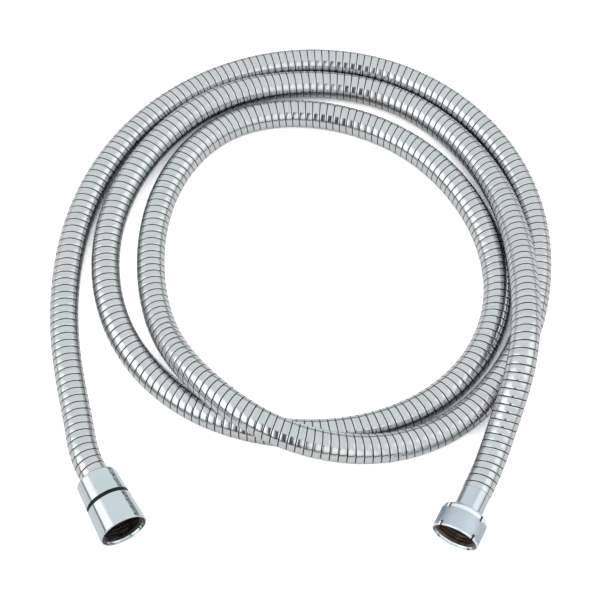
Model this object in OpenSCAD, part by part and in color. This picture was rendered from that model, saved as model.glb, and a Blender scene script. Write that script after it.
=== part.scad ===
// Flexible metal shower hose, lying loosely coiled on the floor.
// One end has a tapered anti-twist swivel nut for the hand spray, the other a loose
// knurled nut for the mixer tap. Millimetres, +Z up. The origin is on the floor,
// midway between the two end fittings.

/* [Hose] */
// Outside diameter of the metal armour over its bands
hose_d = 15; // [14.7:0.1:15.2]
// Depth of the step between one band of the armour and the next
band_step = 0.6; // [0.3:0.1:0.7]
// Wall of the armour under the lowest side of a step
strip_wall = 0.3; // [0.2:0.1:0.4]
// Bands along the armour, each standing for two or three turns of the steel strip
band_count = 180; // [90:1:180]
// Wall of the rubber water tube inside the armour
tube_wall = 1.2; // [1:0.1:1.4]

/* [Connection threads] */
// Crest diameter of the half-inch pipe thread in both nuts
thread_d = 18.63; // [18.3:0.01:19]
// Depth of that thread, which its entry chamfer takes away
thread_depth = 1.16; // [1.1:0.01:1.2]
// Length of the entry chamfer of the thread
thread_entry = 0.8; // [0.5:0.1:1.2]
// Depth of the thread's run-out around the washer
relief_depth = 0.3; // [0.2:0.1:0.5]
// Step from the thread's root out to the recess in the mouth
recess_step = 0.4; // [0.2:0.1:0.6]
// Depth of the recess in the mouth of both nuts
mouth_recess = 1.6; // [0.8:0.1:2]
// Thickness of the inner shoulder of both nuts
shoulder = 2.2; // [1.8:0.1:2.4]

/* [Stems and seals] */
// Length of a barbed stem inside the water tube
barb_length = 13; // [11:1:14]
// Barbs on each stem
barb_count = 4; // [2:1:5]
// Depth of the barbs
barb_depth = 0.35; // [0.2:0.05:0.5]
// Wall of a stem under its barbs
barb_wall = 0.7; // [0.5:0.1:0.9]
// Length of the sleeve crimped over tube and stem
crimp_length = 9; // [6:1:10]
// Distance of that sleeve from the hose's end
crimp_setback = 2; // [1:0.5:4]
// Wall of the crimped sleeve
crimp_wall = 0.5; // [0.3:0.1:0.5]
// Thickness of the sealing flange
flange_thickness = 1.8; // [1.4:0.1:2]
// Thickness of the flat washers
washer_thickness = 2; // [1.5:0.1:2.2]
// Hole of the flat washers
washer_bore_d = 11; // [8:0.5:13]
// Thickness of the slip washer and of the slip ring
slip_thickness = 0.7; // [0.5:0.1:0.8]

/* [Cone end] */
// Heading of the cone end, from +X towards +Y
cone_heading = -61; // [-64:1:-58]
// Wall of the collar around the hose
collar_wall = 3; // [2.8:0.1:3.2]
// Rounding of the shoulder where the hose goes in
collar_round = 2.4; // [1:0.1:2.7]
// Length of the fixed collar
collar_length = 13.7; // [13.1:0.1:14.4]
// Depth that the hose goes into the collar
hose_insert = 4.5; // [3.5:0.5:5]
// Width of the black ring behind the cone nut
ring_width = 2; // [1.2:0.1:2.4]
// Depth that the black ring lies below the chrome around it
ring_recess = 0.15; // [0.05:0.05:0.4]
// Length of the cone nut
cone_nut_length = 16.3; // [15.8:0.1:18]
// Wall of the cone nut around the recess in its mouth
cone_wall = 1.4; // [1.2:0.1:1.8]
// Rounding of the mouth's edge
lip_round = 1.1; // [0.6:0.1:1.2]
// Wall of the stem's body around the snap ring's groove
stem_wall = 0.75; // [0.6:0.05:0.9]
// Length of the stem's body that reaches into the cone nut
stem_reach = 0.6; // [0.4:0.1:1]
// Wall of the swivel under its O-rings
journal_wall = 0.8; // [0.6:0.1:1]
// Thickness of the O-rings
o_ring_thickness = 1.4; // [1.2:0.1:1.6]
// Play of an O-ring along its groove
groove_play = 0.4; // [0.2:0.1:0.6]
// Step from the swivel's bore out to its retaining shoulder
shoulder_step = 1.1; // [0.8:0.1:1.3]
// Length of the retaining shoulder
shoulder_length = 0.9; // [0.7:0.1:1]
// Step from the swivel's bore out to its neck, on which the cone nut turns
neck_step = 1.4; // [1.1:0.1:1.6]
// Land on each side of an O-ring groove
groove_land = 1.1; // [0.8:0.1:1.3]
// Thickness of the snap ring
snap_ring_thickness = 0.8; // [0.6:0.1:0.9]
// Depth of the snap ring's groove in the stem
snap_groove_depth = 0.5; // [0.4:0.1:0.8]
// Length of the stem in front of the snap ring
snap_lip = 0.8; // [0.6:0.1:1]
// Width of the split in the snap ring
snap_split = 2.5; // [1.5:0.5:4]

/* [Knurled end] */
// Heading of the knurled end, from +X towards +Y
nut_heading = -117; // [-121:1:-113]
// Downward tilt of the knurled end
nut_tilt = 0; // [0:0.2:1]
// Seat of the flange on the slip ring, outside the plain ferrule
flange_seat = 1.7; // [1.5:0.1:1.8]
// Wall of the plain ferrule
ferrule_wall = 1.2; // [1:0.1:1.4]
// Length of ferrule that shows behind the nut
ferrule_show = 11.9; // [11:0.1:12.5]
// Wall of the knurled nut around the recess in its mouth
nut_wall = 1.2; // [1:0.1:1.6]
// Length of the knurled nut
nut_length = 13.9; // [13.6:0.1:15.4]
// Rounding of the nut's back edge
nut_back_round = 3.3; // [1.5:0.1:3.4]
// Rounding of the nut's front edge
nut_front_round = 0.8; // [0.4:0.1:1]
// Notches around each edge of the nut
notch_count = 4; // [2:1:6]
// Width of a notch
notch_width = 1.8; // [0.8:0.1:2]
// Length of a notch along the nut
notch_length = 2.4; // [1.5:0.1:3]
// Depth of a notch
notch_depth = 0.8; // [0.4:0.1:1]

/* [Fits] */
// Radial gap between the armour and the water tube
tube_gap = 1.3; // [1.2:0.1:1.5]
// Radial gap between the water tube and the barbs
barb_gap = 0.55; // [0.5:0.05:0.7]
// Radial gap between the hose and the collar around it
hose_gap = 0.2; // [0.1:0.05:0.4]
// Radial gap between the stems' flanges and the thread that slides over them
flange_gap = 0.3; // [0.2:0.05:0.5]
// Radial gap between pieces that are pressed or crimped together
seat_gap = 0.05; // [0.02:0.01:0.08]
// Radial gap between a turning piece and its journal
turn_gap = 0.1; // [0.05:0.01:0.15]
// Radial gap between the nut and the ferrule that it slides on
slide_gap = 0.2; // [0.15:0.05:0.3]
// Gap between end faces that turn against each other
face_gap = 0.1; // [0.05:0.01:0.15]
// Gap between the front of the cone end's stem and the pieces turning around it
stem_gap = 0.3; // [0.2:0.05:0.4]

/* [Hidden] */
$fn = 64;
hose_sides = 8;
lead = 7;                    // spacing of the straight lead-in points at both hose ends
samples_per_span = 24;       // fine points per span of the route's spline
tube_spans = 76;             // spans of the water tube's sweep between its two stems
tangent_reach = 1;           // how far to each side the hose's direction is taken over
turn_apart = 5;              // diameters along the hose between places that count as two turns
barb_peak = 0.8;             // share of its pitch over which a barb rises
overcut = 1;                 // how far cutters run past a face

// Where the hose meets its two end fittings, on the floor plan
cone_exit_plan = [-93.4, 13.7];
nut_exit_plan = [93.1, 5.5];

// Route of the hose from the cone end to the knurled end. Each point is [x, y, lift],
// where lift is the height of the hose's underside above the floor. The shift moves them
// all, so that the origin stays midway between the two end fittings.
route_shift = [1.2, 0.6];
ROUTE = [
    [-103.1, 31.9, 1.9], [-105.4, 44.2, 0.7], [-111.3, 66, 0], [-118, 100, 0],
    [-118, 148, 0], [-105, 193, 0], [-79, 231, 0], [-41, 258, 0], [4, 270, 0],
    [50, 265, 0], [90, 243, 0],
    [120, 207, 0], [134, 162, 0], [131, 115, 0], [115, 71, 5.5], [82, 37, 1],
    [37, 22, 9.5], [-9, 31, 16.5], [-46, 60, 16.5], [-69, 98, 0], [-76, 144, 0],
    [-68, 188, 0], [-40, 226, 0], [6.2, 235.8, 0], [53.6, 222.2, 0], [87.8, 193, 0],
    [109.8, 150.4, 0], [111.5, 103.9, 0], [88, 63, 0], [46, 40, 0], [0, 36, 0],
    [-46, 48, 0], [-82, 79, 0], [-99, 122, 0], [-97, 168, 1.5], [-76, 209, 4.5],
    [-42, 241, 5], [4, 254, 0.5], [50.3, 249, 0], [89.4, 222.8, 0], [113.5, 181.5, 5.5],
    [122, 138, 13.5], [121, 94, 21.5], [117, 68, 20.5], [110.9, 50, 14], [104.8, 33.9, 6.7]
];

// Diameters from the hose's armour inwards
armour_bore_d = hose_d - 2 * (band_step + strip_wall);
tube_d = armour_bore_d - 2 * tube_gap;
tube_bore_d = tube_d - 2 * tube_wall;
barb_d = tube_bore_d - 2 * barb_gap;
barb_root_d = barb_d - 2 * barb_depth;
water_bore_d = barb_root_d - 2 * barb_wall;

// Diameters around the thread and the stems
thread_root_d = thread_d + 2 * thread_depth;
relief_d = thread_d + 2 * relief_depth;
flange_d = thread_d - 2 * flange_gap;
mouth_recess_d = thread_root_d + 2 * recess_step;
cone_mouth_d = mouth_recess_d + 2 * cone_wall;
nut_d = mouth_recess_d + 2 * nut_wall;
collar_d = hose_d + 2 * (hose_gap + collar_wall);
ferrule_d = flange_d - 2 * flange_seat;
ferrule_bore_d = ferrule_d - 2 * ferrule_wall;
groove_floor_d = water_bore_d + 2 * journal_wall;
swivel_bore_d = groove_floor_d + 2 * o_ring_thickness;
swivel_shoulder_d = swivel_bore_d + 2 * shoulder_step;
swivel_neck_d = swivel_bore_d + 2 * neck_step;
shoulder_bore_d = swivel_shoulder_d + 2 * turn_gap;
snap_groove_d = shoulder_bore_d + 2 * snap_groove_depth;
stem_body_d = snap_groove_d + 2 * stem_wall;

// Positions along the cone end's axis, from the plane where the hose goes in
ring_start = collar_length;
cone_nut_start = ring_start + ring_width;
cone_mouth = cone_nut_start + cone_nut_length;
cone_taper = (cone_mouth_d - collar_d) / 2 / (cone_mouth - lip_round - collar_round);
function cone_r(z) = collar_d / 2 + cone_taper * (z - collar_round);
stem_front = cone_nut_start + stem_reach;
cone_web = stem_front + stem_gap;              // back of the cone nut's inner shoulder
cone_pocket = cone_web + shoulder;             // front of that shoulder
cone_flange = cone_pocket + slip_thickness + 2 * face_gap;
cone_washer = cone_flange + flange_thickness;
snap_start = stem_front - snap_lip - snap_ring_thickness;
swivel_shoulder = snap_start - face_gap - shoulder_length;
groove_width = o_ring_thickness + groove_play;
swivel_start = swivel_shoulder - 2 * groove_width - 3 * groove_land;
socket_floor = swivel_start - face_gap;        // floor of the stem's socket for the swivel
groove_starts = [for (k = [0, 1])
    swivel_start + (k + 1) * groove_land + k * groove_width];

// Positions along the knurled end's axis, from the plane where the hose stops
nut_start = ferrule_show;
nut_mouth = nut_start + nut_length;
nut_pocket = nut_start + shoulder;             // front of the nut's inner shoulder
slip_ring_length = 2 * slip_thickness;
slip_ring_start = nut_pocket + face_gap;
nut_flange = slip_ring_start + slip_ring_length + face_gap;
nut_washer = nut_flange + flange_thickness;

// Both ends in the frame of the part: the cone end lies along its taper on the floor, so
// its axis rises towards the mouth. The knurled end lies flat, or rests on the edge of its
// mouth when it is tilted.
cone_rise = atan(cone_taper);
cone_dir = [cos(cone_heading) * cos(cone_rise), sin(cone_heading) * cos(cone_rise),
    sin(cone_rise)];
nut_dir = [cos(nut_heading) * cos(nut_tilt), sin(nut_heading) * cos(nut_tilt), -sin(nut_tilt)];
cone_exit = [cone_exit_plan.x, cone_exit_plan.y, cone_r(0) * cos(cone_rise)];
nut_height = (nut_mouth - nut_front_round) * sin(nut_tilt)
    + (nut_d / 2 - nut_front_round) * cos(nut_tilt) + nut_front_round;
nut_exit = [nut_exit_plan.x, nut_exit_plan.y, nut_height];

// The hose's centre line: a uniform cubic spline over the route, with straight leads
route_points = concat(
    [for (k = [1, 0, -1, -2]) cone_exit + (hose_insert + k * lead) * cone_dir],
    [for (p = ROUTE) [p.x + route_shift.x, p.y + route_shift.y, hose_d / 2 + p.z]],
    [for (k = [-2, -1, 0, 1]) nut_exit + k * lead * nut_dir]
);
function spline(i, t) =
    let (p = route_points, u = 1 - t)
    (p[i] * u * u * u
        + p[i + 1] * (3 * t * t * t - 6 * t * t + 4)
        + p[i + 2] * (-3 * t * t * t + 3 * t * t + 3 * t + 1)
        + p[i + 3] * t * t * t) / 6;
spans = len(route_points) - 3;
line = [for (i = [0:spans - 1], k = [0:samples_per_span - 1]) spline(i, k / samples_per_span),
    spline(spans - 1, 1)];
line_at = [for (i = 0, s = 0; i < len(line);
    s = s + (i + 1 < len(line) ? norm(line[i + 1] - line[i]) : 0), i = i + 1) s];
hose_length = line_at[len(line) - 1];
tables = [for (axis = [0:2]) [for (i = [0:len(line) - 1]) [line_at[i], line[i][axis]]]];
function place(s) = [for (axis = [0:2]) lookup(s, tables[axis])];

// A ring of the swept tube: its sides lie flat underneath, and never twist
function unit(v) = v / norm(v);
function ring_points(s, r) =
    let (
        along = unit(place(min(s + tangent_reach, hose_length))
            - place(max(s - tangent_reach, 0))),
        across = unit(cross([0, 0, 1], along)),
        up = cross(along, across),
        centre = place(s)
    )
    [for (k = [0:hose_sides - 1])
        let (a = 360 * (k + 0.5) / hose_sides)
        centre + r * (across * cos(a) + up * sin(a))];

// Stations along the hose
band = hose_length / band_count;
seams = [for (i = [0:band_count]) i * band];
crimp_end = crimp_setback + crimp_length;
stem_stretch = max(crimp_end, barb_length) + 1;
tube_stations = concat(
    [0, crimp_end],
    [for (i = [0:tube_spans])
        stem_stretch + i * (hose_length - 2 * stem_stretch) / tube_spans],
    [hose_length - crimp_end, hose_length]
);
seam_share = 0.12;           // share of a band on each side of a seam that the step takes
armour_outside = concat(
    [[0, hose_d / 2]],
    [for (i = [0:band_count - 1], edge = [0, 1])
        edge == 0 ? [(i + seam_share) * band, hose_d / 2]
                  : [(i + 1 - seam_share) * band, hose_d / 2 - band_step]],
    [[hose_length, hose_d / 2]]
);

// Least gap between two turns of the hose, from each seam to the line between two others
function to_line(p, a, b) =
    let (t = max(0, min(1, (p - a) * (b - a) / ((b - a) * (b - a))))) norm(p - a - t * (b - a));
seam_places = [for (s = seams) place(s)];
own_turn = ceil(turn_apart * hose_d / band);
least_gap = min([for (i = [0:band_count - own_turn - 1], j = [i + own_turn:band_count - 1])
    to_line(seam_places[i], seam_places[j], seam_places[j + 1])]) - hose_d;
echo(str("Length of the hose: ", round(hose_length), " mm"));
echo(str("Least gap of the hose to itself: ", round(least_gap * 100) / 100, " mm"));

// ---- Shared shapes ----

// Points of an arc in a profile, from one angle to another
function arc(centre, r, from, to, steps = 6) =
    [for (i = [0:steps]) let (a = from + (to - from) * i / steps)
        centre + r * [cos(a), sin(a)]];

// A solid turned about the axis from a profile of [radius, position] points
module turned(profile) {
    rotate_extrude() polygon(profile);
}

// A plain ring between two positions on the axis
module plain_ring(outer_d, inner_d, from, to) {
    turned([
        [inner_d / 2, from], [outer_d / 2, from],
        [outer_d / 2, to], [inner_d / 2, to]
    ]);
}

// Puts a piece made along +Z onto the cone end's axis
module on_cone_axis() {
    translate(cone_exit) rotate([0, 90 - cone_rise, cone_heading]) children();
}

// Puts a piece made along +Z onto the knurled end's axis
module on_nut_axis() {
    translate(nut_exit) rotate([0, 90 + nut_tilt, nut_heading]) children();
}

// A tube swept along the route: outside and bore are lists of [station, radius]
module swept(outside, bore) {
    n = hose_sides;
    points = [for (ring = concat(outside, bore), p = ring_points(ring[0], ring[1])) p];
    last_out = (len(outside) - 1) * n;
    first_in = len(outside) * n;
    last_in = (len(outside) + len(bore) - 1) * n;
    faces = [
        for (i = [0:len(outside) - 2], j = [0:n - 1], half = [0, 1])
            let (a = i * n + j, b = i * n + (j + 1) % n)
            half == 0 ? [a, a + n, b + n] : [a, b + n, b],
        for (i = [0:len(bore) - 2], j = [0:n - 1], half = [0, 1])
            let (a = first_in + i * n + j, b = first_in + i * n + (j + 1) % n)
            half == 0 ? [a, b + n, a + n] : [a, b, b + n],
        for (j = [0:n - 1], half = [0, 1])
            let (k = (j + 1) % n)
            half == 0 ? [first_in + j, j, k] : [first_in + j, k, first_in + k],
        for (j = [0:n - 1], half = [0, 1])
            let (k = (j + 1) % n)
            half == 0 ? [last_in + j, last_out + k, last_out + j]
                      : [last_in + j, last_in + k, last_out + k]
    ];
    polyhedron(points, faces);
}

// Barbs of a stem, pointing back into the water tube and ending at position 0
function barb_outline() =
    let (pitch = barb_length / barb_count)
    [for (i = [0:barb_count - 1], edge = [0, 1])
        edge == 0 ? [barb_root_d / 2, -barb_length + i * pitch]
                  : [barb_d / 2, -barb_length + (i + barb_peak) * pitch]];

// Inside of both nuts, from the inner shoulder's hole out to the mouth
function nut_inside(hole_r, web, pocket, washer, mouth) = [
    [mouth_recess_d / 2, mouth],
    [mouth_recess_d / 2, mouth - mouth_recess],
    [thread_root_d / 2, mouth - mouth_recess],
    [thread_d / 2, mouth - mouth_recess - thread_entry],
    [thread_d / 2, washer + washer_thickness + face_gap],
    [relief_d / 2, washer + washer_thickness + face_gap],
    [relief_d / 2, pocket],
    [hole_r, pocket],
    [hole_r, web]
];

// ---- Hose ----

// Strip-wound steel armour, each band lapping over the next
module hose_armour() {
    color("silver")
        swept(armour_outside, [for (s = seams) [s, armour_bore_d / 2]]);
}

// Rubber tube that carries the water inside the armour
module water_tube() {
    color("dimgray")
        swept([for (s = tube_stations) [s, tube_d / 2]],
            [for (s = tube_stations) [s, tube_bore_d / 2]]);
}

// ---- Cone end ----

// Fixed collar that takes in the hose
module cone_collar() {
    hose_r = hose_d / 2 + hose_gap;
    body_r = stem_body_d / 2 + seat_gap;
    color("lightgray") on_cone_axis() turned(concat(
        [[hose_r, 0]],
        arc([collar_d / 2 - collar_round, collar_round], collar_round, -90, 0),
        [
            [cone_r(ring_start), ring_start],
            [body_r, ring_start],
            [body_r, hose_insert],
            [hose_r, hose_insert]
        ]
    ));
}

// Brass stem: barbs in the water tube, a body in the collar, and the swivel's bore
module cone_stem() {
    color("goldenrod") on_cone_axis() turned(concat(
        [[water_bore_d / 2, hose_insert - barb_length]],
        [for (p = barb_outline()) [p[0], p[1] + hose_insert]],
        [
            [barb_root_d / 2, hose_insert],
            [stem_body_d / 2, hose_insert],
            [stem_body_d / 2, stem_front],
            [shoulder_bore_d / 2, stem_front],
            [shoulder_bore_d / 2, snap_start + snap_ring_thickness],
            [snap_groove_d / 2, snap_start + snap_ring_thickness],
            [snap_groove_d / 2, snap_start],
            [shoulder_bore_d / 2, snap_start],
            [shoulder_bore_d / 2, swivel_shoulder - face_gap],
            [swivel_bore_d / 2, swivel_shoulder - face_gap],
            [swivel_bore_d / 2, socket_floor],
            [water_bore_d / 2, socket_floor]
        ]
    ));
}

// Sleeve crimped over the tube on a stem, ending a little short of the hose's end
module crimp_sleeve(hose_end) {
    inner_d = tube_d + 2 * seat_gap;
    end = hose_end - crimp_setback;
    plain_ring(inner_d + 2 * crimp_wall, inner_d, end - crimp_length, end);
}

module cone_crimp_sleeve() {
    color("peru") on_cone_axis() crimp_sleeve(hose_insert);
}

// Black ring that the cone nut turns against
module cone_bearing_ring() {
    color([0.08, 0.08, 0.09]) on_cone_axis() turned([
        [stem_body_d / 2 + seat_gap, ring_start],
        [cone_r(ring_start) - ring_recess, ring_start],
        [cone_r(cone_nut_start) - ring_recess, cone_nut_start - face_gap],
        [stem_body_d / 2 + seat_gap, cone_nut_start - face_gap]
    ]);
}

// Brass swivel: an O-ring journal, a retaining shoulder, a neck and a sealing flange
module cone_swivel() {
    journal_r = swivel_bore_d / 2 - turn_gap;
    neck_start = stem_front + stem_gap;
    color("goldenrod") on_cone_axis() turned(concat(
        [[water_bore_d / 2, swivel_start], [journal_r, swivel_start]],
        [for (z = groove_starts, p = [
            [journal_r, z],
            [groove_floor_d / 2, z],
            [groove_floor_d / 2, z + groove_width],
            [journal_r, z + groove_width]
        ]) p],
        [
            [journal_r, swivel_shoulder],
            [swivel_shoulder_d / 2, swivel_shoulder],
            [swivel_shoulder_d / 2, swivel_shoulder + shoulder_length],
            [journal_r, swivel_shoulder + shoulder_length],
            [journal_r, neck_start],
            [swivel_neck_d / 2, neck_start],
            [swivel_neck_d / 2, cone_flange],
            [flange_d / 2, cone_flange],
            [flange_d / 2, cone_washer],
            [water_bore_d / 2, cone_washer]
        ]
    ));
}

// O-ring in one groove of the swivel
module o_ring(groove) {
    r = o_ring_thickness / 2 - face_gap / 2;
    translate([0, 0, groove + groove_width / 2])
        rotate_extrude()
            translate([(groove_floor_d + o_ring_thickness) / 2, 0]) circle(r, $fn = 24);
}

module cone_rear_o_ring() {
    color([0.12, 0.12, 0.12]) on_cone_axis() o_ring(groove_starts[0]);
}

module cone_front_o_ring() {
    color([0.12, 0.12, 0.12]) on_cone_axis() o_ring(groove_starts[1]);
}

// Split steel ring that keeps the swivel's shoulder in the stem
module cone_snap_ring() {
    outer_d = snap_groove_d - 2 * seat_gap;
    color("slategray") on_cone_axis() difference() {
        plain_ring(outer_d, swivel_bore_d + 2 * turn_gap, snap_start,
            snap_start + snap_ring_thickness);
        translate([0, -snap_split / 2, snap_start - overcut])
            cube([outer_d, snap_split, snap_ring_thickness + 2 * overcut]);
    }
}

// Plastic washer between the cone nut's shoulder and the swivel's flange
module cone_slip_washer() {
    start = cone_pocket + face_gap;
    color("ivory") on_cone_axis()
        plain_ring(flange_d, swivel_neck_d + 2 * turn_gap, start, start + slip_thickness);
}

// Rubber sealing washer on the swivel's flange
module cone_flat_washer() {
    color([0.15, 0.15, 0.15]) on_cone_axis()
        plain_ring(flange_d, washer_bore_d, cone_washer, cone_washer + washer_thickness);
}

// Tapered nut with the pipe thread for the hand spray
module cone_nut() {
    clear_r = stem_body_d / 2 + stem_gap;
    color("lightgray") on_cone_axis() turned(concat(
        [[cone_r(cone_nut_start), cone_nut_start]],
        arc([cone_mouth_d / 2 - lip_round, cone_mouth - lip_round], lip_round, 0, 90),
        nut_inside(swivel_neck_d / 2 + turn_gap, cone_web, cone_pocket, cone_washer, cone_mouth),
        [[clear_r, cone_web], [clear_r, cone_nut_start]]
    ));
}

// ---- Knurled end ----

// Plain ferrule that closes the hose's end
module nut_ferrule() {
    color("lightgray") on_nut_axis() plain_ring(ferrule_d, ferrule_bore_d, 0, nut_flange);
}

// Brass stem: barbs in the water tube, a body in the ferrule and a sealing flange
module nut_stem() {
    body_r = ferrule_bore_d / 2 - seat_gap;
    color("goldenrod") on_nut_axis() turned(concat(
        [[water_bore_d / 2, -barb_length]],
        barb_outline(),
        [
            [barb_root_d / 2, 0],
            [body_r, 0],
            [body_r, nut_flange],
            [flange_d / 2, nut_flange],
            [flange_d / 2, nut_washer],
            [water_bore_d / 2, nut_washer]
        ]
    ));
}

module nut_crimp_sleeve() {
    color("peru") on_nut_axis() crimp_sleeve(0);
}

// Plastic ring that slides on the ferrule and carries the nut
module nut_slip_ring() {
    color("ivory") on_nut_axis()
        plain_ring(flange_d, ferrule_d + 2 * slide_gap, slip_ring_start,
            slip_ring_start + slip_ring_length);
}

// Rubber sealing washer on the stem's flange
module nut_flat_washer() {
    color([0.15, 0.15, 0.15]) on_nut_axis()
        plain_ring(flange_d, washer_bore_d, nut_washer, nut_washer + washer_thickness);
}

// Loose nut with the pipe thread for the mixer tap
module knurled_nut() {
    r = nut_d / 2;
    hole_r = ferrule_d / 2 + slide_gap;
    color("gainsboro") on_nut_axis() difference() {
        turned(concat(
            arc([r - nut_back_round, nut_start + nut_back_round], nut_back_round, -90, 0),
            arc([r - nut_front_round, nut_mouth - nut_front_round], nut_front_round, 0, 90, 4),
            nut_inside(hole_r, nut_start, nut_pocket, nut_washer, nut_mouth)
        ));
        notches(nut_start + nut_back_round - notch_length);
        notches(nut_mouth - notch_length);
    }
}

// Short slots around the nut, starting at one position on its axis
module notches(start) {
    for (k = [0:notch_count - 1])
        rotate([0, 0, 360 * (k + 0.5) / notch_count])
            translate([nut_d / 2 - notch_depth, -notch_width / 2, start])
                cube([notch_depth + overcut, notch_width, notch_length + overcut / 2]);
}

hose_armour();
water_tube();
cone_collar();
cone_stem();
cone_crimp_sleeve();
cone_bearing_ring();
cone_swivel();
cone_rear_o_ring();
cone_front_o_ring();
cone_snap_ring();
cone_slip_washer();
cone_flat_washer();
cone_nut();
nut_ferrule();
nut_stem();
nut_crimp_sleeve();
nut_slip_ring();
nut_flat_washer();
knurled_nut();
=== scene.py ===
"""Shower hose: strip-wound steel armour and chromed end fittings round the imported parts."""
import math
import bmesh
import bpy
import numpy as np
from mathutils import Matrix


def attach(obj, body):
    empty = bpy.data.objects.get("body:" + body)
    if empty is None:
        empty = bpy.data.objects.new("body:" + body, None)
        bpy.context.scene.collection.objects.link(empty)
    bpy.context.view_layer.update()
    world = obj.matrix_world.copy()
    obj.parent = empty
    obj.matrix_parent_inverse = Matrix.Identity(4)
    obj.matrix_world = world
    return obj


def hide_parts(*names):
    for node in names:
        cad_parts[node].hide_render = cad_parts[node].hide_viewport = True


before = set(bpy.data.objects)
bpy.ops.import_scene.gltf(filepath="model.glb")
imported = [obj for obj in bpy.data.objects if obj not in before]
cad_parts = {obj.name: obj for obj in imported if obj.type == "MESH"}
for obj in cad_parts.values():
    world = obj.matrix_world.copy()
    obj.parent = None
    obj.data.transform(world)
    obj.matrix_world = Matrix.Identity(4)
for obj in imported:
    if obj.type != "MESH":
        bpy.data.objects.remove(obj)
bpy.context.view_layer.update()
MM = 0.001
TAU = 2 * math.pi

# ---- Sizes, in millimetres and degrees, as the parts have them ----
# A place on a fitting is its distance along the axis from the back of the collar or ferrule.

HOSE_R = 7.5
ARMOUR_BORE_R = 6.6
LEAD = 7.0  # spacing of the route's points on the straight lines that lead into the fittings

# Tapered end
TAPER_START = 2.4
TAPER_LENGTH = 28.5
NARROW_R = 10.7
WIDE_R = 12.275
TAPER = (WIDE_R - NARROW_R) / TAPER_LENGTH
CONE_RISE = math.degrees(math.atan(TAPER))
CONE_HEADING = -61.0
CONE_EXIT = np.array([
    -93.4, 13.7, (NARROW_R - TAPER_START * TAPER) * math.cos(math.radians(CONE_RISE))])
HOSE_INSERT = 4.5
COLLAR_END = 13.7
COLLAR_BORE_R = 7.2
CONE_NUT_BACK = 15.7
CONE_THREAD = (23.6, 29.6)
CONE_MOUTH = 32.0
CONE_LIP_R = 11.4
CONE_WASHER = 21.5

# Knurled end
NUT_HEADING = -117.0
NUT_TILT = 0.0
NUT_R = 12.075
NUT_EXIT = np.array([93.1, 5.5, NUT_R])
FERRULE_R = 7.315
FERRULE_BORE_R = 6.115
FERRULE_END = 15.7
NUT_BACK = 11.9
NUT_BORE_R = 7.515
NUT_THREAD = (19.6, 23.4)
NUT_MOUTH = 25.8
NUT_LIP_R = 11.35
NUT_WASHER = 17.5
NUT_SIDES = 432
KNURL = (15.0, 25.1)
KNURL_TEETH = 72
KNURL_DEPTH = 0.17
NOTCH_COUNT = 4
NOTCH_HALF_WIDTH = 0.9
NOTCH_DEPTH = 0.8
NOTCH_AT_BACK = (12.8, 15.7)
NOTCH_AT_FRONT = 23.4

# Both ends
THREAD_R = 9.315
THREAD_DEPTH = 1.16
THREAD_PITCH = 1.814
POCKET_R = 9.615
FLANGE_R = 9.015
WASHER_THICKNESS = 2

# Strip of the armour, and its outline from the back edge to the front edge: share of a turn
# along the hose, depth below the hose's outside, and how far the normal leans forwards
STRIP_TURNS = 490
STRIP_SHARE = np.array([0.0, 0.05, 0.11, 0.27, 0.73, 0.89, 0.95])
STRIP_DEPTH = np.array([0.55, 0.16, 0.06, 0.0, 0.0, 0.06, 0.16])
STRIP_LEAN = np.radians([-65, -32, -11, -2, 2, 11, 32])
HOSE_SIDES = 26

# Route of the hose: x, y and the height of its underside above the floor
ROUTE = np.array([
    [-103.1, 31.9, 1.9], [-105.4, 44.2, 0.7], [-111.3, 66, 0], [-118, 100, 0],
    [-118, 148, 0], [-105, 193, 0], [-79, 231, 0], [-41, 258, 0], [4, 270, 0],
    [50, 265, 0], [90, 243, 0],
    [120, 207, 0], [134, 162, 0], [131, 115, 0], [115, 71, 5.5], [82, 37, 1],
    [37, 22, 9.5], [-9, 31, 16.5], [-46, 60, 16.5], [-69, 98, 0], [-76, 144, 0],
    [-68, 188, 0], [-40, 226, 0], [6.2, 235.8, 0], [53.6, 222.2, 0], [87.8, 193, 0],
    [109.8, 150.4, 0], [111.5, 103.9, 0], [88, 63, 0], [46, 40, 0], [0, 36, 0],
    [-46, 48, 0], [-82, 79, 0], [-99, 122, 0], [-97, 168, 1.5], [-76, 209, 4.5],
    [-42, 241, 5], [4, 254, 0.5], [50.3, 249, 0], [89.4, 222.8, 0], [113.5, 181.5, 5.5],
    [122, 138, 13.5], [121, 94, 21.5], [117, 68, 20.5], [110.9, 50, 14], [104.8, 33.9, 6.7]])
ROUTE_SHIFT = np.array([1.2, 0.6, HOSE_R])


# ---- Camera ----

def aim_camera():
    """Looks along +Y from 62 degrees up, far enough to frame the whole coil."""
    data = bpy.data.cameras.new("camera")
    data.sensor_width = 36
    data.lens = 94.112
    data.clip_start = 0.05
    data.clip_end = 20
    camera = bpy.data.objects.new("camera", data)
    bpy.context.scene.collection.objects.link(camera)
    camera.location = (0.0070, -0.27102, 0.73278)
    camera.rotation_euler = (math.radians(90 - 62), 0, 0)
    bpy.context.scene.camera = camera


# ---- Lines and frames ----

def unit(v):
    """Each vector divided by its own length."""
    return v / np.linalg.norm(v, axis=-1, keepdims=True)


def axis_frame(heading, tilt):
    """Rows are the side, across and outward directions of a fitting that points along
    its heading on the floor and is tilted down by its tilt."""
    h, t = math.radians(heading), math.radians(tilt)
    out = np.array([math.cos(h) * math.cos(t), math.sin(h) * math.cos(t), -math.sin(t)])
    across = np.array([-math.sin(h), math.cos(h), 0.0])
    return np.array([np.cross(across, out), across, out])


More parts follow.
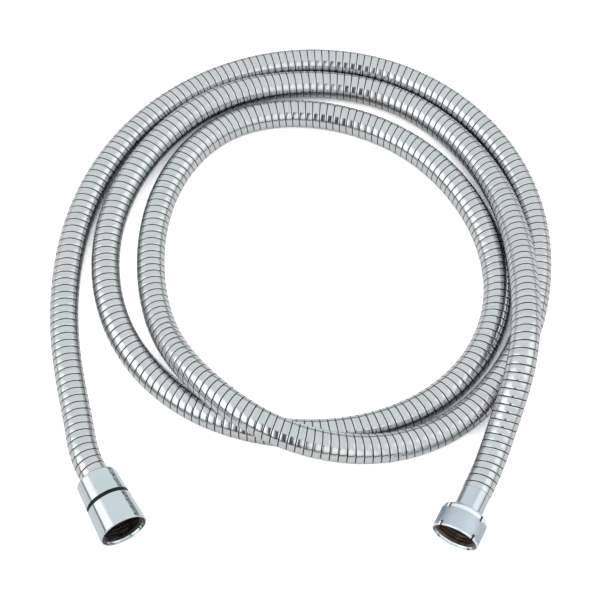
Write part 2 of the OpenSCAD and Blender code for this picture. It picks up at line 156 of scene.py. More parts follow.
def spline(points, samples):
    """Uniform cubic B-spline: each span blends four points with the weights
    (1-t)^3, 3t^3-6t^2+4, -3t^3+3t^2+3t+1 and t^3, all over six."""
    t = np.arange(samples)[:, None] / samples
    weights = [(1 - t) ** 3, 3 * t ** 3 - 6 * t ** 2 + 4,
               -3 * t ** 3 + 3 * t ** 2 + 3 * t + 1, t ** 3]
    spans = len(points) - 3
    body = sum(w[None] * points[k:k + spans, None] for k, w in enumerate(weights)) / 6
    end = (points[-3] + 4 * points[-2] + points[-1]) / 6
    return np.vstack([body.reshape(-1, 3), end])


class HoseLine:
    """The hose's centre line, measured by the distance from its end in the tapered fitting."""

    def __init__(self):
        cone_out = axis_frame(CONE_HEADING, -CONE_RISE)[2]
        nut_out = axis_frame(NUT_HEADING, NUT_TILT)[2]
        start = CONE_EXIT + (HOSE_INSERT + LEAD * np.array([[1], [0], [-1], [-2]])) * cone_out
        end = NUT_EXIT + LEAD * np.array([[-2], [-1], [0], [1]]) * nut_out
        self.points = spline(np.vstack([start, ROUTE + ROUTE_SHIFT, end]), 24)
        steps = np.linalg.norm(np.diff(self.points, axis=0), axis=1)
        self.at = np.concatenate([[0], np.cumsum(steps)])
        self.length = self.at[-1]

    def place(self, s):
        """Point on the line at each distance."""
        return np.stack([np.interp(s, self.at, self.points[:, k]) for k in range(3)], -1)

    def frames(self, s):
        """Centre, across and up at each distance; across stays level, so nothing twists."""
        ahead = self.place(np.minimum(s + 1, self.length))
        behind = self.place(np.maximum(s - 1, 0))
        along = unit(ahead - behind)
        across = unit(np.cross([0, 0, 1.0], along))
        return self.place(s), across, np.cross(along, across)


# ---- Meshes ----

def given_normals(mesh, name):
    """Smooth normals taken from a vector attribute on the points."""
    normals = np.empty(len(mesh.vertices) * 3)
    mesh.attributes[name].data.foreach_get("vector", normals)
    mesh.attributes.remove(mesh.attributes[name])
    mesh.polygons.foreach_set("use_smooth", np.ones(len(mesh.polygons), bool))
    mesh.normals_split_custom_set_from_vertices(unit(normals.reshape(-1, 3)).tolist())


def weighted_normals(mesh):
    """Smooth normals in which a large face counts for more than a narrow one."""
    count = len(mesh.polygons)
    area, total = np.empty(count), np.empty(count, np.int32)
    normal = np.empty(count * 3)
    corner = np.empty(len(mesh.loops), np.int32)
    mesh.polygons.foreach_get("area", area)
    mesh.polygons.foreach_get("loop_total", total)
    mesh.polygons.foreach_get("normal", normal)
    mesh.loops.foreach_get("vertex_index", corner)
    share = np.repeat(normal.reshape(-1, 3) * area[:, None], total, axis=0)
    sums = np.zeros((len(mesh.vertices), 3))
    np.add.at(sums, corner, share)
    mesh.polygons.foreach_set("use_smooth", np.ones(count, bool))
    mesh.normals_split_custom_set_from_vertices(unit(sums + 1e-12).tolist())


def link(name, mesh, body, replaced, materials):
    """Makes the piece, gives it its finishes and lets it ride on its body."""
    piece = bpy.data.objects.new(name, mesh)
    bpy.context.scene.collection.objects.link(piece)
    for material in materials:
        mesh.materials.append(material)
    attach(piece, body)
    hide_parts(*replaced)
    return piece


def fillets(corners):
    """Closed outline of (position, radius, rounding) corners, each rounded by the arc
    that touches both its sides: a conic with the cosine of half the turn as weight.
    An arc takes up less than half of the shorter side."""
    outline = np.array([c[:2] for c in corners], float)
    rows = []
    for k, (_, _, rounding) in enumerate(corners):
        back = outline[k - 1] - outline[k]
        ahead = outline[(k + 1) % len(outline)] - outline[k]
        limit = 0.48 * min(np.linalg.norm(back), np.linalg.norm(ahead))
        a, b = unit(back), unit(ahead)
        weight = math.sqrt(max(0.0, (1 - float(a @ b)) / 2))
        steps = 10 if rounding > 1 else 4
        t = np.linspace(0, 1, steps + 1)[:, None]
        reach = min(rounding, limit)
        w = [(1 - t) ** 2, 2 * weight * t * (1 - t), t ** 2]
        arc = (w[0] * (outline[k] + a * reach) + w[1] * outline[k]
               + w[2] * (outline[k] + b * reach)) / sum(w)
        rows.append(arc)
    return np.vstack(rows)


def divide(outline, step):
    """Adds points so that no side of a closed outline is longer than the step."""
    following = np.roll(outline, -1, axis=0)
    counts = np.maximum(1, np.ceil(np.linalg.norm(following - outline, axis=1) / step))
    counts = counts.astype(int)
    owner = np.repeat(np.arange(len(outline)), counts)
    share = np.concatenate([np.arange(n) / n for n in counts])[:, None]
    return outline[owner] * (1 - share) + following[owner] * share


def turned(name, corners, sides, frame_rows, origin, relief=None, step=50.0):
    """Surface of revolution: the rounded outline is carried round the axis. relief gives
    how far each point moves outwards, from its position, radius and angle. Gives the mesh,
    and the position and radius of each face's middle before that."""
    outline = divide(fillets(corners), step)
    z, r = outline[:, :1], outline[:, 1:]
    angle = np.arange(sides)[None] * TAU / sides
    if relief is not None:
        r = r + relief(z, r, angle)
    side, across, out = frame_rows
    points = origin + z[..., None] * out + r[..., None] * (
        np.cos(angle)[..., None] * side + np.sin(angle)[..., None] * across)
    a = np.arange(len(outline))[:, None] * sides + np.arange(sides)
    b = np.roll(a, -1, axis=1)
    quads = np.stack([a, b, np.roll(b, -1, axis=0), np.roll(a, -1, axis=0)], -1).reshape(-1, 4)
    following = np.roll(outline, -1, axis=0)
    doubled_area = (outline[:, 0] * following[:, 1] - following[:, 0] * outline[:, 1]).sum()
    if doubled_area > 0:
        quads = quads[:, ::-1]
    mesh = bpy.data.meshes.new(name)
    mesh.from_pydata((points.reshape(-1, 3) * MM).tolist(), [], quads.tolist())
    weighted_normals(mesh)
    return mesh, np.repeat((outline + following) / 2, sides, axis=0)


# ---- Hose ----

def wound_strip(line):
    """Strip wound round the line: point k of the strip's outline lies at distance
    pitch (turn + share k), on a helix, at the hose's radius less the outline's depth. The
    normal leans along the hose by the outline's lean, and a little more or less from turn
    to turn. Gives the points, their normals, the faces, and turn and share at each face's
    corners."""
    pitch = line.length / STRIP_TURNS
    steps = (STRIP_TURNS + 1) * HOSE_SIDES + 1
    turn = np.arange(steps) / HOSE_SIDES - 1
    s = np.clip(pitch * (turn[:, None] + STRIP_SHARE[None]), 0, line.length)
    centre, across, up = line.frames(s)
    angle = (turn * TAU)[:, None, None]
    outwards = across * np.cos(angle) + up * np.sin(angle)
    points = centre + (HOSE_R - STRIP_DEPTH)[None, :, None] * outwards
    loose = np.random.default_rng(7).normal(0, math.radians(0.6), STRIP_TURNS + 3)
    looseness = np.interp(turn + 1, np.arange(len(loose)), loose)
    lean = (STRIP_LEAN[None] + looseness[:, None])[..., None]
    normals = outwards * np.cos(lean) + np.cross(across, up) * np.sin(lean)

    index = np.arange(steps * len(STRIP_SHARE)).reshape(steps, -1)
    inner = np.stack([index[:-1, :-1], index[:-1, 1:], index[1:, 1:], index[1:, :-1]], -1)
    lap = np.stack([index[:-1 - HOSE_SIDES, -1], index[HOSE_SIDES:-1, 0],
                    index[HOSE_SIDES + 1:, 0], index[1:-HOSE_SIDES, -1]], -1)
    quads = np.concatenate([inner.reshape(-1, 4), lap])
    u = np.stack([turn[:-1], turn[:-1], turn[1:], turn[1:]], -1)
    v = np.stack([STRIP_SHARE[:-1], STRIP_SHARE[1:], STRIP_SHARE[1:], STRIP_SHARE[:-1]], -1)
    lap_v = np.array([STRIP_SHARE[-1], 1.0, 1.0, STRIP_SHARE[-1]])
    uv = np.concatenate([
        np.stack(np.broadcast_arrays(u[:, None], v[None]), -1).reshape(-1, 4, 2),
        np.stack(np.broadcast_arrays(u[:-HOSE_SIDES], lap_v), -1)])
    face_s = s.reshape(-1)[quads]
    kept = (face_s.max(1) > 0) & (face_s.min(1) < line.length)
    return points.reshape(-1, 3), normals.reshape(-1, 3), quads[kept], uv[kept]


def bore_wall(line, first):
    """Inside of the armour: level rings round the line at the bore's radius, whose normals
    point at the line. Its points are numbered from first. Gives what wound_strip gives."""
    rings = 160
    centre, across, up = line.frames(np.linspace(0, line.length, rings))
    angle = (np.arange(HOSE_SIDES) * TAU / HOSE_SIDES)[None, :, None]
    points = centre[:, None] + ARMOUR_BORE_R * (
        across[:, None] * np.cos(angle) + up[:, None] * np.sin(angle))
    normals = (centre[:, None] - points) / ARMOUR_BORE_R
    a = first + np.arange(rings * HOSE_SIDES).reshape(rings, HOSE_SIDES)
    b = np.roll(a, -1, axis=1)
    quads = np.stack([a[:-1], b[:-1], b[1:], a[1:]], -1).reshape(-1, 4)
    mid_strip = np.full((len(quads), 4, 2), 0.5)
    return points.reshape(-1, 3), normals.reshape(-1, 3), quads, mid_strip


def armour(line):
    """The wound strip and the bore's wall as one closed mesh."""
    strip = wound_strip(line)
    wall = bore_wall(line, len(strip[0]))
    points, normals, quads, uv = (np.concatenate(pair) for pair in zip(strip, wall))
    mesh = bpy.data.meshes.new("hose_bands")
    mesh.from_pydata((points * MM).tolist(), [], quads.tolist())
    mesh.uv_layers.new(name="band").data.foreach_set("uv", uv.ravel())
    mesh.attributes.new("normals", "FLOAT_VECTOR", "POINT").data.foreach_set(
        "vector", normals.ravel())
    close_ends(mesh, line)
    given_normals(mesh, "normals")
    return mesh


def close_ends(mesh, line):
    """Joins the outside to the bore with a flat ring of faces at each end."""
    near = 1.2 * HOSE_R * MM
    work = bmesh.new()
    work.from_mesh(mesh)
    bmesh.ops.delete(work, geom=[v for v in work.verts if not v.link_faces], context="VERTS")
    for end in (line.points[0] * MM, line.points[-1] * MM):
        rim = [e for e in work.edges if e.is_boundary
               and all(sum((v.co[k] - end[k]) ** 2 for k in range(3)) < near ** 2
                       for v in e.verts)]
        bmesh.ops.bridge_loops(work, edges=rim)
    bmesh.ops.recalc_face_normals(work, faces=work.faces)
    work.to_mesh(mesh)
    work.free()


# ---- Fittings ----

def thread_relief(first, last):
    """Thread groove inside a nut: half a cosine wave per turn of the helix, made a little
    fuller by the power 0.7, and dying away at both ends of the stretch from first to last."""
    runout = 0.5

    def relief(z, r, angle):
        wave = 0.5 - 0.5 * np.cos(TAU * z / THREAD_PITCH - angle)
        fade = np.clip((z - first) / runout, 0, 1) * np.clip((last - z) / runout, 0, 1)
        return THREAD_DEPTH * wave ** 0.7 * fade * (np.abs(r - THREAD_R) < 0.01)
    return relief


def notched(z, r, angle):
    """Whether a place on the knurled nut lies in one of the notches at its back or front,
    which stand half a space off the start of the angle."""
    space = angle * NOTCH_COUNT / TAU - 0.5
    off = np.abs(space - np.round(space)) * TAU / NOTCH_COUNT * NUT_R
    at_back = (z > NOTCH_AT_BACK[0]) & (z < NOTCH_AT_BACK[1])
    return (off < NOTCH_HALF_WIDTH) & (at_back | (z > NOTCH_AT_FRONT)) & (r > NUT_R - 1.15)


def knurled_relief(first, last):
    """Thread inside the nut, diamond knurling outside it and notches on both edges.
    The knurl is the deeper of two sets of narrow grooves that cross at sixty degrees."""
    inside = thread_relief(first, last)

    def groove(x):
        gap = np.abs(x - np.round(x))
        return np.exp(-(gap / 0.2) ** 2)

    def relief(z, r, angle):
        outer = (r > NUT_R - 0.05) & (z > KNURL[0]) & (z < KNURL[1])
        lean = z * math.tan(math.radians(30)) / NUT_R
        first_set = groove(KNURL_TEETH * (angle + lean) / TAU)
        second_set = groove(KNURL_TEETH * (angle - lean) / TAU)
        knurl = KNURL_DEPTH * np.maximum(first_set, second_set) * outer
        floor = np.clip(r - (NUT_R - NOTCH_DEPTH), 0, None)
        notch = np.where(notched(z, r, angle), floor, 0)
        return inside(z, r, angle) - np.maximum(knurl, notch)
    return relief


def mark_groove_shade(mesh):
    """Point attribute: how deep a place lies in the knurl, as a share of the knurl's depth; the
    nut's finish paints shade by it. What lies much deeper is a notch or the nut's inside and
    counts as 0."""
    places = np.empty(len(mesh.vertices) * 3)
    mesh.vertices.foreach_get("co", places)
    out = axis_frame(NUT_HEADING, NUT_TILT)[2]
    from_axis = places.reshape(-1, 3) / MM - NUT_EXIT
    along = from_axis @ out
    r = np.linalg.norm(from_axis - along[:, None] * out, axis=1)
    depth = np.where((along > KNURL[0]) & (along < KNURL[1]), NUT_R - r, 0)
    share = np.where(depth < 0.3, np.clip(depth / KNURL_DEPTH, 0, 1), 0)
    mesh.attributes.new("groove", "FLOAT", "POINT").data.foreach_set("value", share)


def cone_radius(z):
    """Outside of the tapered end: grows evenly with the place along it."""
    return NARROW_R + TAPER * (z - TAPER_START)


def barbs(end):
    """Corners of four barbs that point back from the end of the stem's body."""
    corners = []
    for k in range(4):
        corners += [(end - 13 + 3.25 * k, 3.2, 0.05), (end - 13 + 3.25 * k + 2.6, 3.55, 0.05)]
    return corners


def mouth(at, lip_r):
    """Corners inside a nut's mouth, from its lip over a narrow step to the thread's edge."""
    return [(at, lip_r, 0.1), (at - 0.6, lip_r - 0.15, 0.05), (at - 0.6, lip_r - 0.42, 0.05),
            (at - 1.4, 10.7, 0.05), (at - 1.6, 10.475, 0.05)]


def inside_and_step(places, back, at, lip_r):
    """Which faces of a nut take its inside finish: the bare faces inside it in front of its back
    wall, and the face of the step in its mouth, painted dark as a line of shade."""
    z, r = places.T
    # The step's face is painted dark as a line of shade, with the inside's finish.
    step = (r < lip_r - 0.1) & (r > lip_r - 0.5) & (z < at - 0.55) & (z > at - 0.7)
    return step | ((r < 10.6) & (z > back))


def tapered_end(place, finish):
    """Collar, bearing ring and nut of the tapered end."""
    collar, _ = turned("cone_collar_shell", [
        (0, 7.7, 0.3), (0, cone_radius(0), 2.25),
        (COLLAR_END, cone_radius(COLLAR_END), 0.2), (COLLAR_END, COLLAR_BORE_R, 0.1),
        (HOSE_INSERT, COLLAR_BORE_R, 0.1), (HOSE_INSERT, 7.7, 0.1)], 128, *place, step=1.5)
    link("cone_collar_shell", collar, "hose", ["cone_collar"], [finish["chrome"]])

    ring, _ = turned("cone_ring_band", [
        (COLLAR_END, COLLAR_BORE_R, 0.1), (COLLAR_END, cone_radius(COLLAR_END) - 0.15, 0.25),
        (15.6, cone_radius(CONE_NUT_BACK) - 0.15, 0.25), (15.6, COLLAR_BORE_R, 0.1)],
        128, *place, step=1.5)
    link("cone_ring_band", ring, "hose", ["cone_bearing_ring"],
         [finish["black_plastic"]])

    thread_back, thread_front = CONE_THREAD
    shell, at = turned("cone_nut_shell", [
        (CONE_NUT_BACK, cone_radius(CONE_NUT_BACK), 0.2),
        (CONE_MOUTH, cone_radius(CONE_MOUTH), 0.8), *mouth(CONE_MOUTH, CONE_LIP_R),
        (thread_front, THREAD_R, 0.05), (thread_back, THREAD_R, 0.05),
        (thread_back, POCKET_R, 0.05), (18.8, POCKET_R, 0.2), (18.8, 6.2, 0.1),
        (16.6, 6.2, 0.1), (16.6, 7.45, 0.1), (CONE_NUT_BACK, 7.45, 0.1)],
        144, *place, relief=thread_relief(*CONE_THREAD), step=0.25)
    # This nut's inside and the face of its mouth step get the finish with painted shade.
    inner_faces = inside_and_step(at, 16.5, CONE_MOUTH, CONE_LIP_R)
    shell.polygons.foreach_set("material_index", inner_faces.astype(np.int32))
    link("cone_nut_shell", shell, "cone_nut", ["cone_nut"],
         [finish["chrome"], finish["painted_shade_metal"]])


def knurled_end(place, finish):
    """Ferrule and knurled nut."""
    ferrule, _ = turned("nut_ferrule_shell", [
        (0, FERRULE_BORE_R, 0.1), (0, FERRULE_R, 0.3), (FERRULE_END, FERRULE_R, 0.1),
        (FERRULE_END, FERRULE_BORE_R, 0.1)], 128, *place, step=1.5)
    link("nut_ferrule_shell", ferrule, "hose", ["nut_ferrule"],
         [finish["ferrule_chrome"]])

    thread_back, thread_front = NUT_THREAD
    shell, at = turned("knurled_nut_shell", [
        (NUT_BACK, NUT_BORE_R, 0.3), (NUT_BACK, NUT_R, 3.3), (NUT_MOUTH, NUT_R, 0.6),
        *mouth(NUT_MOUTH, NUT_LIP_R),
        (thread_front, THREAD_R, 0.05), (thread_back, THREAD_R, 0.05),
        (thread_back, POCKET_R, 0.05), (14.1, POCKET_R, 0.2), (14.1, NUT_BORE_R, 0.1)],
        NUT_SIDES, *place, relief=knurled_relief(*NUT_THREAD), step=0.3)
    inner_faces = inside_and_step(at, 14.0, NUT_MOUTH, NUT_LIP_R)
    angle = np.tile((np.arange(NUT_SIDES) + 0.5) * TAU / NUT_SIDES, len(at) // NUT_SIDES)
    # Notches take the darkest finish as painted shade and painted dark reflection; index 1 is
    # the bare inside and the mouth's step, which is painted dark as shade.
    kind = inner_faces + 2 * notched(at[:, 0], at[:, 1], angle)
    shell.polygons.foreach_set("material_index", kind.astype(np.int32))
    mark_groove_shade(shell)
    link("knurled_nut_shell", shell, "knurled_nut", ["knurled_nut"],
         [finish["satin_nut"], finish["bare_thread"], finish["painted_shade_metal"]])


def fittings(finish):
    """Both ends, and the washers and the stem that show in their mouths."""
    cone = axis_frame(CONE_HEADING, -CONE_RISE), CONE_EXIT
    nut = axis_frame(NUT_HEADING, NUT_TILT), NUT_EXIT
    tapered_end(cone, finish)
    knurled_end(nut, finish)

    for name, body, start, place in (("cone_flat_washer", "swivel", CONE_WASHER, cone),
                                     ("nut_flat_washer", "hose", NUT_WASHER, nut)):
        end = start + WASHER_THICKNESS
        washer, _ = turned(name + "_rubber", [
            (start, 5.5, 0.25), (start, FLANGE_R, 0.25), (end, FLANGE_R, 0.25),
            (end, 5.5, 0.25)], 96, *place)
        link(name + "_rubber", washer, body, [name], [finish["seal_rubber"]])

    stem, _ = turned("nut_stem_brass", [(-13, 2.5, 0.05)] + barbs(0) + [
        (0, 3.2, 0.05), (0, 6.065, 0.2), (FERRULE_END, 6.065, 0.1),
        (FERRULE_END, FLANGE_R, 0.25), (NUT_WASHER, FLANGE_R, 0.25), (NUT_WASHER, 2.5, 0.15)],
        96, *nut, step=2.0)
    link("nut_stem_brass", stem, "hose", ["nut_stem"], [finish["brass"]])


# ---- Finishes ----

class Tree:
    """Small helper that adds nodes to a tree and joins them."""

    def __init__(self, tree):
        self.tree = tree

    def feed(self, socket, value):
        """Joins a socket to another, or gives it a value of its own."""
        if isinstance(value, bpy.types.NodeSocket):
            self.tree.links.new(value, socket)
        else:
            socket.default_value = value

    def add(self, kind, inputs=(), **settings):
        node = self.tree.nodes.new(kind)
        for key, value in settings.items():
            setattr(node, key, value)
        for key, value in dict(inputs).items():
            self.feed(node.inputs[key], value)
        return node

    def use(self, group_tree, **inputs):
        """Outputs of a node group, placed with its own values."""
        return self.add("ShaderNodeGroup", inputs, node_tree=group_tree).outputs

    def math(self, operation, a, b=0.0, c=0.0):
        return self.add("ShaderNodeMath", {0: a, 1: b, 2: c}, operation=operation).outputs[0]

    def vector(self, operation, a, b=(0, 0, 0)):
        return self.add("ShaderNodeVectorMath", {0: a, 1: b}, operation=operation).outputs

    def ramp(self, value, low, high, to_low=0.0, to_high=1.0):
        """Smooth step from to_low at low to to_high at high."""
        node = self.add("ShaderNodeMapRange", {
            "Value": value, "From Min": low, "From Max": high,
            "To Min": to_low, "To Max": to_high}, interpolation_type="SMOOTHSTEP")
        return node.outputs["Result"]

    def mix(self, factor, a, b, blend="MIX"):
        node = self.add("ShaderNodeMix", data_type="RGBA", blend_type=blend)
        for name, value in (("Factor", factor), ("A", a), ("B", b)):
            self.feed(next(s for s in node.inputs if s.name == name and s.enabled), value)
        return next(s for s in node.outputs if s.enabled)

    def noise(self, vector, scale, detail=3.0, roughness=0.5):
        return self.add("ShaderNodeTexNoise", {
            "Vector": vector, "Scale": scale, "Detail": detail,
            "Roughness": roughness}).outputs["Fac"]

    def bump(self, height, strength, distance):
        return self.add("ShaderNodeBump", {
            "Height": height, "Strength": strength, "Distance": distance}).outputs["Normal"]

    def place(self):
        """The object's own coordinates, in metres."""
        return self.add("ShaderNodeTexCoord").outputs["Object"]


def group(name, inputs, outputs, build):
    """Shader node group with float or vector sockets, filled in by build."""
    tree = bpy.data.node_groups.new(name, "ShaderNodeTree")
    for socket, kind, default in inputs:
        item = tree.interface.new_socket(socket, in_out="INPUT", socket_type="NodeSocket" + kind)
        if default is not None:
            item.default_value = default
    for socket, kind in outputs:
        tree.interface.new_socket(socket, in_out="OUTPUT", socket_type="NodeSocket" + kind)
    t = Tree(tree)
    start = t.add("NodeGroupInput")
    end = t.add("NodeGroupOutput")
    for socket, value in build(t, start.outputs).items():
        tree.links.new(value, end.inputs[socket])
    return tree


def rolled_lines(t, given):
    """Fine lines left by rolling or turning: noise drawn out along one direction."""
    stretched = t.vector("MULTIPLY", given["Vector"], given["Stretch"])["Vector"]
    fine = t.noise(stretched, 1.0, 4.0, 0.6)
    return {"Height": fine, "Tone": t.ramp(fine, 0.3, 0.7)}


def handled(t, given):
    """Faint smudges and water spots over a polished surface."""
    slow = t.noise(given["Vector"], given["Scale"], 4.0, 0.6)
    spots = t.noise(given["Vector"], t.math("MULTIPLY", given["Scale"], 6.0), 2.0, 0.5)
    mask = t.math("ADD", t.ramp(slow, 0.42, 0.68), t.ramp(spots, 0.62, 0.75, 0.0, 0.5))
    return {"Mask": mask, "Height": slow}


def surface(name, **constants):
    """New material with a Principled BSDF; constants go straight onto its sockets."""
    material = bpy.data.materials.new(name)
    material.use_nodes = True
    shader = material.node_tree.nodes["Principled BSDF"]
    for key, value in constants.items():
        shader.inputs[key.replace("_", " ")].default_value = value
    return material, Tree(material.node_tree), shader


def join(t, shader, colour, rough, bump):
    """Feeds the three sockets that change over every finish."""
    for key, value in (("Base Color", colour), ("Roughness", rough), ("Normal", bump)):
        t.tree.links.new(value, shader.inputs[key])


def banded_steel(lines, marks):
    """Steel strip: lines rolled along it, a slow change of tint, smudges and a dark seam
    where one turn laps over the next, partly the real gap and partly painted shade in the
    groove."""
    material, t, shader = surface("banded_steel", Metallic=1.0)
    uv = t.add("ShaderNodeUVMap", uv_map="band").outputs["UV"]
    share = t.add("ShaderNodeSeparateXYZ", {0: uv}).outputs["Y"]
    off_middle = t.math("ABSOLUTE", t.math("SUBTRACT", share, 0.5))
    seam_and_shade = t.ramp(off_middle, 0.412, 0.455)
    rolled = t.use(lines, Vector=uv, Stretch=(2.0, 9.0, 1.0))
    place = t.place()
    hand = t.use(marks, Vector=place, Scale=60.0)
    tint = t.mix(t.ramp(t.noise(place, 16.0, 1.0), 0.4, 0.6), (0.66, 0.655, 0.66, 1),
                 (0.63, 0.66, 0.655, 1))
    worn = t.mix(rolled["Tone"], (0.84, 0.85, 0.86, 1), (1, 1, 1, 1))
    steel = t.mix(1.0, tint, worn, "MULTIPLY")
    # The seam's near-black colour is partly the gap between turns and partly painted shade in
    # the groove.
    colour = t.mix(seam_and_shade, steel, (0.022, 0.023, 0.025, 1))
    rough = t.math("MULTIPLY_ADD", rolled["Tone"], 0.08, 0.10)
    rough = t.math("MULTIPLY_ADD", hand["Mask"], 0.05, rough)
    rough = t.math("MULTIPLY_ADD", seam_and_shade, 0.3, rough)
    join(t, shader, colour, rough, t.bump(rolled["Height"], 0.35, 0.00006))
    return material


def satin_nut(marks):
    """Satin plate with a fine grain, with painted shade in the grooves of the knurl."""
    material, t, shader = surface("satin_nut", Metallic=1.0)
    place = t.place()
    hand = t.use(marks, Vector=place, Scale=150.0)
    grain = t.noise(place, 2600.0, 2.0, 0.6)
    colour = t.mix(hand["Mask"], (0.82, 0.90, 0.96, 1), (0.74, 0.82, 0.885, 1))
    groove = t.add("ShaderNodeAttribute", attribute_name="groove").outputs["Fac"]
    # Painted shade: the colour darkens with the depth in the knurl's grooves.
    colour = t.mix(groove, colour, (0.21, 0.26, 0.32, 1))
    rough = t.math("MULTIPLY_ADD", grain, 0.14, 0.10)
    join(t, shader, colour, rough, t.bump(grain, 0.25, 0.00008))
    return material


def finishes():
    """Every finish by its name. The plainer ones are made from a light and a dark colour,
    a roughness and the scale of their pattern."""
    lines = group("rolled_lines", [("Vector", "Vector", None), ("Stretch", "Vector", None)],
                  [("Height", "Float"), ("Tone", "Float")], rolled_lines)
    marks = group("handled", [("Vector", "Vector", None), ("Scale", "Float", 40.0)],
                  [("Mask", "Float"), ("Height", "Float")], handled)
    made = {"banded_steel": banded_steel(lines, marks)}

    def plated(name, light, dark, roughness):
        """Polished plate with smudges."""
        material, t, shader = surface(name, Metallic=1.0)
        hand = t.use(marks, Vector=t.place(), Scale=90.0)
        colour = t.mix(hand["Mask"], (*light, 1), (*dark, 1))
        rough = t.math("MULTIPLY_ADD", hand["Mask"], 0.04, roughness)
        join(t, shader, colour, rough, t.bump(hand["Height"], 0.12, 0.0002))
        made[name] = material

    def turned_metal(name, light, dark, roughness, scale):
        """Bare metal with the marks of the lathe."""
        material, t, shader = surface(name, Metallic=1.0)
        place = t.place()
        lathe = t.use(lines, Vector=place, Stretch=(scale, scale, scale))
        hand = t.use(marks, Vector=place, Scale=200.0)
        colour = t.mix(hand["Mask"], (*light, 1), (*dark, 1))
        rough = t.math("MULTIPLY_ADD", lathe["Tone"], 0.12, roughness)
        join(t, shader, colour, rough, t.bump(lathe["Height"], 0.3, 0.00005))
        made[name] = material

    def moulded(name, light, dark, roughness, scale, specular=0.5):
        """Plastic or rubber with the fine grain of its mould."""
        material, t, shader = surface(name, Specular_IOR_Level=specular)
        place = t.place()
        hand = t.use(marks, Vector=place, Scale=scale / 12)
        grain = t.noise(place, scale, 3.0, 0.6)
        colour = t.mix(hand["Mask"], (*light, 1), (*dark, 1))
        rough = t.math("MULTIPLY_ADD", grain, 0.2, roughness)
        join(t, shader, colour, rough, t.bump(grain, 0.3, 0.00006))
        made[name] = material

    plated("chrome", (0.59, 0.65, 0.67), (0.56, 0.62, 0.645), 0.035)
    plated("ferrule_chrome", (0.57, 0.61, 0.65), (0.52, 0.57, 0.62), 0.07)
    made["satin_nut"] = satin_nut(marks)
    turned_metal("bare_thread", (0.16, 0.115, 0.085), (0.05, 0.038, 0.032), 0.28, 900)
    # Painted shade: a much darker copy of the bare thread, for the tapered nut's inside and
    # mouth step and the knurled nut's notches.
    turned_metal("painted_shade_metal", (0.055, 0.046, 0.042), (0.02, 0.017, 0.016), 0.2, 900)
    turned_metal("brass", (0.70, 0.52, 0.27), (0.50, 0.34, 0.16), 0.22, 600)
    turned_metal("crimp_brass", (0.72, 0.47, 0.30), (0.50, 0.30, 0.19), 0.26, 500)
    turned_metal("spring_steel", (0.42, 0.43, 0.45), (0.26, 0.26, 0.28), 0.30, 700)
    moulded("black_plastic", (0.012, 0.013, 0.015), (0.02, 0.021, 0.024), 0.3, 1500, 0.15)
    moulded("seal_rubber", (0.02, 0.02, 0.02), (0.035, 0.034, 0.032), 0.55, 1200)
    moulded("tube_rubber", (0.05, 0.05, 0.052), (0.07, 0.07, 0.072), 0.5, 1000)
    moulded("white_plastic", (0.80, 0.79, 0.74), (0.74, 0.72, 0.66), 0.35, 1300)
    return made


def dress_nodes(finish):
    """Gives the parts that stay as they are their own finishes."""
    wanted = {"water_tube": "tube_rubber", "cone_stem": "brass",
              "cone_crimp_sleeve": "crimp_brass", "nut_crimp_sleeve": "crimp_brass",
              "cone_swivel": "brass", "cone_rear_o_ring": "seal_rubber",
              "cone_front_o_ring": "seal_rubber", "cone_snap_ring": "spring_steel",
              "cone_slip_washer": "white_plastic", "nut_slip_ring": "white_plastic"}
    for name, material in wanted.items():
        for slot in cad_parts[name].material_slots:
            slot.material = finish[material]


# ---- Studio ----

# Soft boxes: heading, half the width, lowest and highest elevation, and brightness
SOFT_BOXES = (
    (200, 36, 12, 56, (1.78, 1.78, 1.79, 1)),
    (276, 22, 22, 58, (1.42, 1.42, 1.42, 1)),
    (2, 20, 20, 58, (1.48, 1.48, 1.48, 1)))
SOFT_EDGE = 10.0


def lay_floor():
    """Pale floor. The camera sees it white, and metal sees it a little brighter than it is
    for the light that it throws back."""
    half, z = 3.0, -0.0001
    mesh = bpy.data.meshes.new("floor")
    mesh.from_pydata([(-half, -half, z), (half, -half, z), (half, half, z), (-half, half, z)],
                     [], [(0, 1, 2, 3)])
    floor = bpy.data.objects.new("floor", mesh)
    bpy.context.scene.collection.objects.link(floor)
    material = bpy.data.materials.new("white_floor")
    material.use_nodes = True
    material.node_tree.nodes.clear()
    t = Tree(material.node_tree)

    def matt(level):
        return t.add("ShaderNodeBsdfDiffuse", {"Color": (level, level, level, 1)}).outputs[0]

    def both(a, b):
        return t.add("ShaderNodeAddShader", {0: a, 1: b}).outputs[0]

    path = t.add("ShaderNodeLightPath").outputs
    plain = matt(0.86)
    bright = matt(0.99)
    in_metal = both(plain, matt(0.18))
    in_view = both(plain, both(bright, bright))
    seen = t.add("ShaderNodeMixShader",
                 {0: path["Is Glossy Ray"], 1: plain, 2: in_metal}).outputs[0]
    seen = t.add("ShaderNodeMixShader",
                 {0: path["Is Camera Ray"], 1: seen, 2: in_view}).outputs[0]
    t.add("ShaderNodeOutputMaterial", {"Surface": seen})
    mesh.materials.append(material)


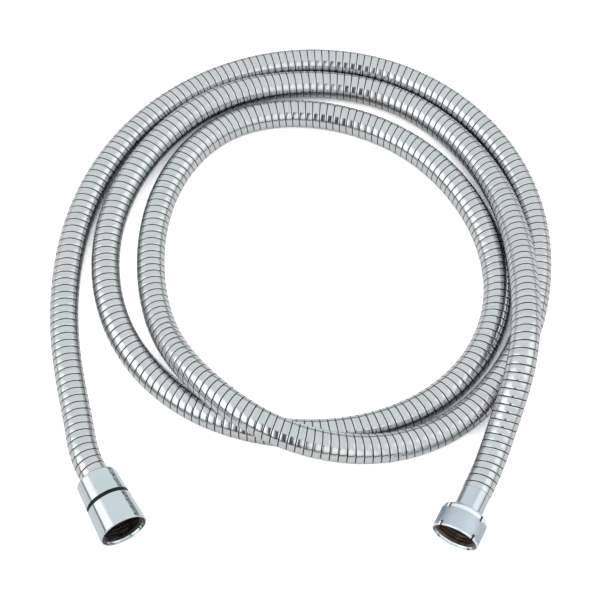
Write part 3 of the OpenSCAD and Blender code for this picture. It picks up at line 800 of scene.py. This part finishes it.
def light_room():
    """The light is the world alone. Metal sees a pale room with soft boxes, a thin dark rim
    along its horizon and one dark stand; other surfaces get a plain light from overhead."""
    world = bpy.data.worlds.new("room")
    world.use_nodes = True
    world.node_tree.nodes.clear()
    bpy.context.scene.world = world
    t = Tree(world.node_tree)
    ray = t.add("ShaderNodeTexCoord").outputs["Generated"]
    part = t.add("ShaderNodeSeparateXYZ", {0: ray}).outputs
    height = part["Z"]
    level = t.add("ShaderNodeCombineXYZ", {0: part["X"], 1: part["Y"]}).outputs[0]
    level = t.vector("NORMALIZE", level)[0]

    def towards(heading):
        """Cosine of how far the ray's own heading is from this one."""
        h = math.radians(heading)
        return t.vector("DOT_PRODUCT", level, (math.cos(h), math.sin(h), 0))["Value"]

    def soft_box(heading, half_width, low, high):
        """Mask of a bright panel with soft edges."""
        sideways = t.ramp(towards(heading), math.cos(math.radians(half_width + SOFT_EDGE)),
                          math.cos(math.radians(half_width - SOFT_EDGE)))
        up = [math.sin(math.radians(v)) for v in (
            low - SOFT_EDGE, low + SOFT_EDGE, high + SOFT_EDGE, high - SOFT_EDGE)]
        return t.math("MULTIPLY", sideways, t.math(
            "MULTIPLY", t.ramp(height, up[0], up[1]), t.ramp(height, up[2], up[3])))

    room = (0.98, 1.02, 1.03, 1)
    for *panel, shade in SOFT_BOXES:
        room = t.mix(soft_box(*panel), room, shade)

    rim_top = t.ramp(towards(20), 0.0, 0.9, 0.15, 0.09)
    above = t.math("SUBTRACT", height, rim_top)
    rim = t.math("MULTIPLY", t.ramp(height, -0.02, 0.0), t.ramp(above, 0.015, -0.015))
    faded = t.ramp(towards(150), 0.80, 0.94, 1.0, 0.4)
    room = t.mix(t.math("MULTIPLY", rim, faded), room, (0.03, 0.03, 0.033, 1))

    sideways = t.vector("DOT_PRODUCT", ray, (0.9455, -0.3256, 0.0))["Value"]
    stand = t.math("MULTIPLY", t.ramp(t.math("ABSOLUTE", sideways), 0.16, 0.13),
                   t.math("MULTIPLY", t.ramp(part["Y"], -0.12, -0.2),
                          t.ramp(height, 0.93, 0.88)))
    room = t.mix(stand, room, (0.05, 0.05, 0.055, 1))

    path = t.add("ShaderNodeLightPath").outputs
    overhead = t.mix(t.ramp(height, 0.3, 0.9), (0.12, 0.12, 0.12, 1), (1.35, 1.35, 1.35, 1))
    room = t.mix(path["Is Glossy Ray"], overhead, room)
    room = t.mix(path["Is Camera Ray"], room, (1, 1, 1, 1))
    light = t.add("ShaderNodeBackground", {"Color": room, "Strength": 1.0}).outputs[0]
    t.add("ShaderNodeOutputWorld", {"Surface": light})


# ---- Making ----

aim_camera()
line = HoseLine()
finish = finishes()
hose = link("hose_bands", armour(line), "hose", ["hose_armour"],
            [finish["banded_steel"]])
line.place(np.linspace(0, line.length, 200)) * MM
fittings(finish)
dress_nodes(finish)
bpy.context.scene.view_settings.view_transform = "Standard"
lay_floor()
light_room()
